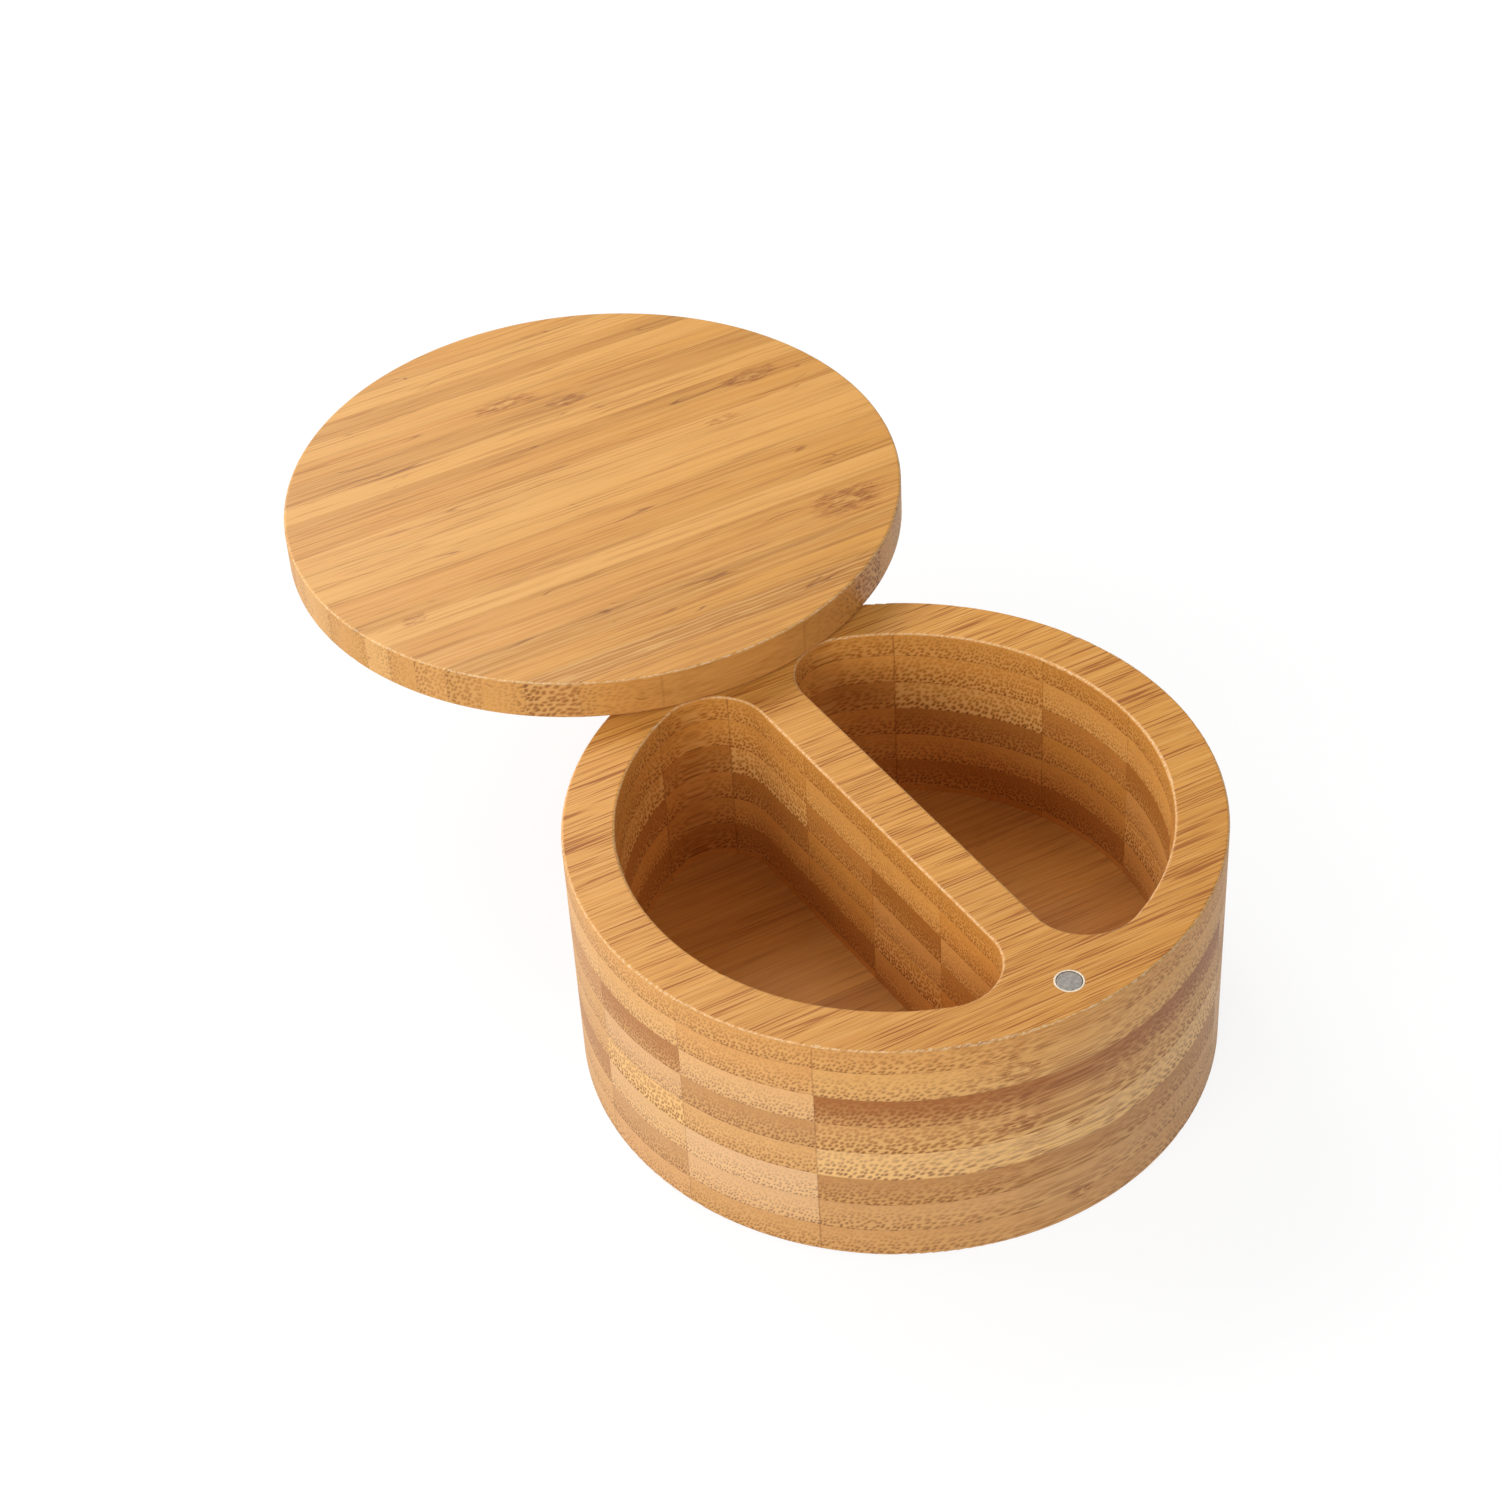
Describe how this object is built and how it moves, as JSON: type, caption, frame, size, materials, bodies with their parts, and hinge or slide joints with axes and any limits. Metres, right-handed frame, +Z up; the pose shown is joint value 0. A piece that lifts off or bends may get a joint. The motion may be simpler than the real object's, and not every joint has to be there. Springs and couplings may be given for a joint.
{
  "type": "salt box",
  "caption": "Low round bamboo salt box with two half-round pockets and a round lid that swivels aside on an upright pin and is held shut by magnets.",
  "frame": {"origin": "centre of the body's underside", "axes": "+Z up, +Y along the divider from the magnet to the pin, with the lid swung open over +Y"},
  "size_m": [0.13, 0.2409, 0.0642],
  "materials": {
    "body_bamboo": "carbonised strand and strip bamboo, oiled, satin",
    "lid_bamboo": "carbonised strip bamboo, oiled, satin",
    "pin_steel": "ground",
    "washer_steel": "rolled",
    "magnet_nickel": "nickel plated, satin"
  },
  "bodies": {
    "box": {"body_plank_1": "body_bamboo", "body_plank_2": "body_bamboo", "body_plank_3": "body_bamboo", "body_plank_4": "body_bamboo", "body_plank_5": "body_bamboo", "body_plank_6": "body_bamboo", "pivot_pin": "pin_steel", "pivot_washer": "washer_steel", "body_magnet": "magnet_nickel"},
    "lid": {"lid_stave_01": "lid_bamboo", "lid_stave_02": "lid_bamboo", "lid_stave_03": "lid_bamboo", "lid_stave_04": "lid_bamboo", "lid_stave_05": "lid_bamboo", "lid_stave_06": "lid_bamboo", "lid_stave_07": "lid_bamboo", "lid_stave_08": "lid_bamboo", "lid_stave_09": "lid_bamboo", "lid_stave_10": "lid_bamboo", "lid_stave_11": "lid_bamboo", "lid_stave_12": "lid_bamboo", "lid_stave_13": "lid_bamboo", "lid_stave_14": "lid_bamboo", "lid_stave_15": "lid_bamboo", "lid_stave_16": "lid_bamboo", "lid_stave_17": "lid_bamboo", "lid_stave_18": "lid_bamboo", "lid_stave_19": "lid_bamboo", "lid_stave_20": "lid_bamboo", "lid_stave_21": "lid_bamboo", "lid_magnet": "magnet_nickel"}
  },
  "joints": [
    {"name": "lid_swivel", "type": "hinge", "parent": "box", "child": "lid", "pos_m": [0, 0.0562, 0.0548], "axis": [0, 0, 1], "continuous": true}
  ]
}
